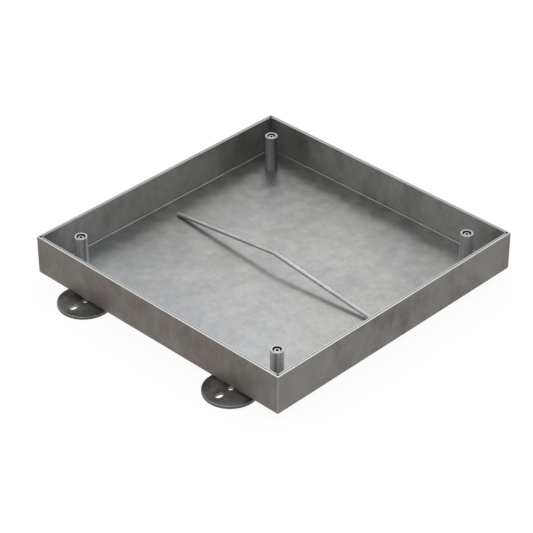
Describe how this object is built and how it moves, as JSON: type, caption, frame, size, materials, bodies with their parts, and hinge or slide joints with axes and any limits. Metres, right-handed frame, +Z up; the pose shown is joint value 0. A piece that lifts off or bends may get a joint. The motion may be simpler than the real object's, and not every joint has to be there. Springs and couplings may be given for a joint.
{
  "type": "recessed paving cover",
  "caption": "Square steel tray for paving infill, seated in a welded angle frame, with screw-levelled corner tubes, a bent anchor rod and slotted disc feet.",
  "frame": {"origin": "on the ground, at the middle of the cover", "axes": "+Z up; the feet stand out of the -Y and +Y sides; +X to the right, along the anchor rod"},
  "size_m": [0.6, 0.688, 0.0925],
  "materials": {
    "frame_steel": "bare rolled sheet, warm grey, clouded",
    "plate_steel": "bare hot rolled plate",
    "tray_steel": "bare rolled sheet, clouded and lightly rubbed",
    "tube_steel": "bare drawn tube",
    "bush_steel": "turned steel",
    "screw_steel": "bright screw steel",
    "rod_steel": "bare round bar",
    "foot_steel": "dark hot rolled plate",
    "stud_steel": "dull screw steel"
  },
  "bodies": {
    "root": {"frame_front": "frame_steel", "frame_right": "frame_steel", "frame_back": "frame_steel", "frame_left": "frame_steel", "corner_plate_front_right": "plate_steel", "corner_plate_back_right": "plate_steel", "corner_plate_back_left": "plate_steel", "corner_plate_front_left": "plate_steel", "tray_pan": "tray_steel", "corner_tube_front_right": "tube_steel", "corner_tube_back_right": "tube_steel", "corner_tube_back_left": "tube_steel", "corner_tube_front_left": "tube_steel", "thread_bush_front_right": "bush_steel", "thread_bush_back_right": "bush_steel", "thread_bush_back_left": "bush_steel", "thread_bush_front_left": "bush_steel", "level_screw_front_right": "screw_steel", "level_screw_back_right": "screw_steel", "level_screw_back_left": "screw_steel", "level_screw_front_left": "screw_steel", "anchor_rod": "rod_steel", "foot_disc_front_right": "foot_steel", "foot_disc_back_right": "foot_steel", "foot_disc_back_left": "foot_steel", "foot_disc_front_left": "foot_steel", "foot_stud_front_right": "stud_steel", "foot_stud_back_right": "stud_steel", "foot_stud_back_left": "stud_steel", "foot_stud_front_left": "stud_steel", "foot_nut_front_right": "stud_steel", "foot_nut_back_right": "stud_steel", "foot_nut_back_left": "stud_steel", "foot_nut_front_left": "stud_steel"}
  },
  "joints": []
}
